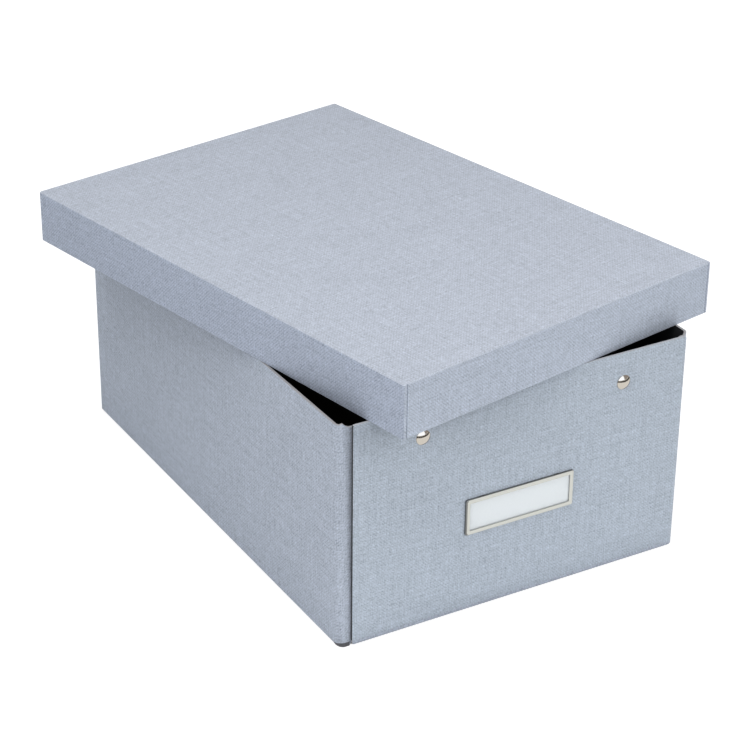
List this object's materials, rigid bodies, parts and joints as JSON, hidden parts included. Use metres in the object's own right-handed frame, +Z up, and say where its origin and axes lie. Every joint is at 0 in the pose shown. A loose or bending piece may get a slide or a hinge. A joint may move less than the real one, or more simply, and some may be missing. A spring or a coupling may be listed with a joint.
{
  "type": "storage box",
  "caption": "Rectangular covered-board storage box with a loose shallow lid lying askew on its rim, fold-up end panels held by press studs, and a metal label frame on the front.",
  "frame": {"origin": "centre of the box's underside, on the base sheet", "axes": "+X to the right along the front panel, -Y out of the front panel, +Z up"},
  "size_m": [0.3234, 0.4066, 0.1873],
  "materials": {
    "case_paper": "blue-grey linen-textured cover paper on board, matt",
    "panel_paper": "blue-grey linen-textured cover paper on board, matt",
    "lid_paper": "blue-grey linen-textured cover paper on board, matt",
    "frame_metal": "warm nickel plate, satin bright",
    "label_card": "plain white card",
    "snap_metal": "bright nickel plate",
    "snap_inner_metal": "nickel-plated steel, satin"
  },
  "bodies": {
    "case": {"case": "case_paper", "snap_stud_front_left": "snap_inner_metal", "snap_stud_front_right": "snap_inner_metal", "snap_stud_back_left": "snap_inner_metal", "snap_stud_back_right": "snap_inner_metal", "snap_post_front_left": "snap_inner_metal", "snap_post_front_right": "snap_inner_metal", "snap_post_back_left": "snap_inner_metal", "snap_post_back_right": "snap_inner_metal"},
    "front_panel": {"front_panel": "panel_paper", "label_frame": "frame_metal", "label_card": "label_card", "snap_cap_front_left": "snap_metal", "snap_cap_front_right": "snap_metal", "snap_socket_front_left": "snap_inner_metal", "snap_socket_front_right": "snap_inner_metal"},
    "back_panel": {"back_panel": "panel_paper", "snap_cap_back_left": "snap_metal", "snap_cap_back_right": "snap_metal", "snap_socket_back_left": "snap_inner_metal", "snap_socket_back_right": "snap_inner_metal"},
    "lid": {"lid": "lid_paper"}
  },
  "joints": [
    {"name": "front_panel_fold", "type": "hinge", "parent": "case", "child": "front_panel", "pos_m": [0.002, -0.1775, 0.00415], "axis": [1, 0, 0], "range_deg": [0, 90]},
    {"name": "back_panel_fold", "type": "hinge", "parent": "case", "child": "back_panel", "pos_m": [0.002, 0.1775, 0.00415], "axis": [-1, 0, 0], "range_deg": [0, 90]},
    {"name": "lid_lift", "type": "slide", "parent": "case", "child": "lid", "axis": [0, 0, 1], "range_m": [0, 0.2]}
  ]
}
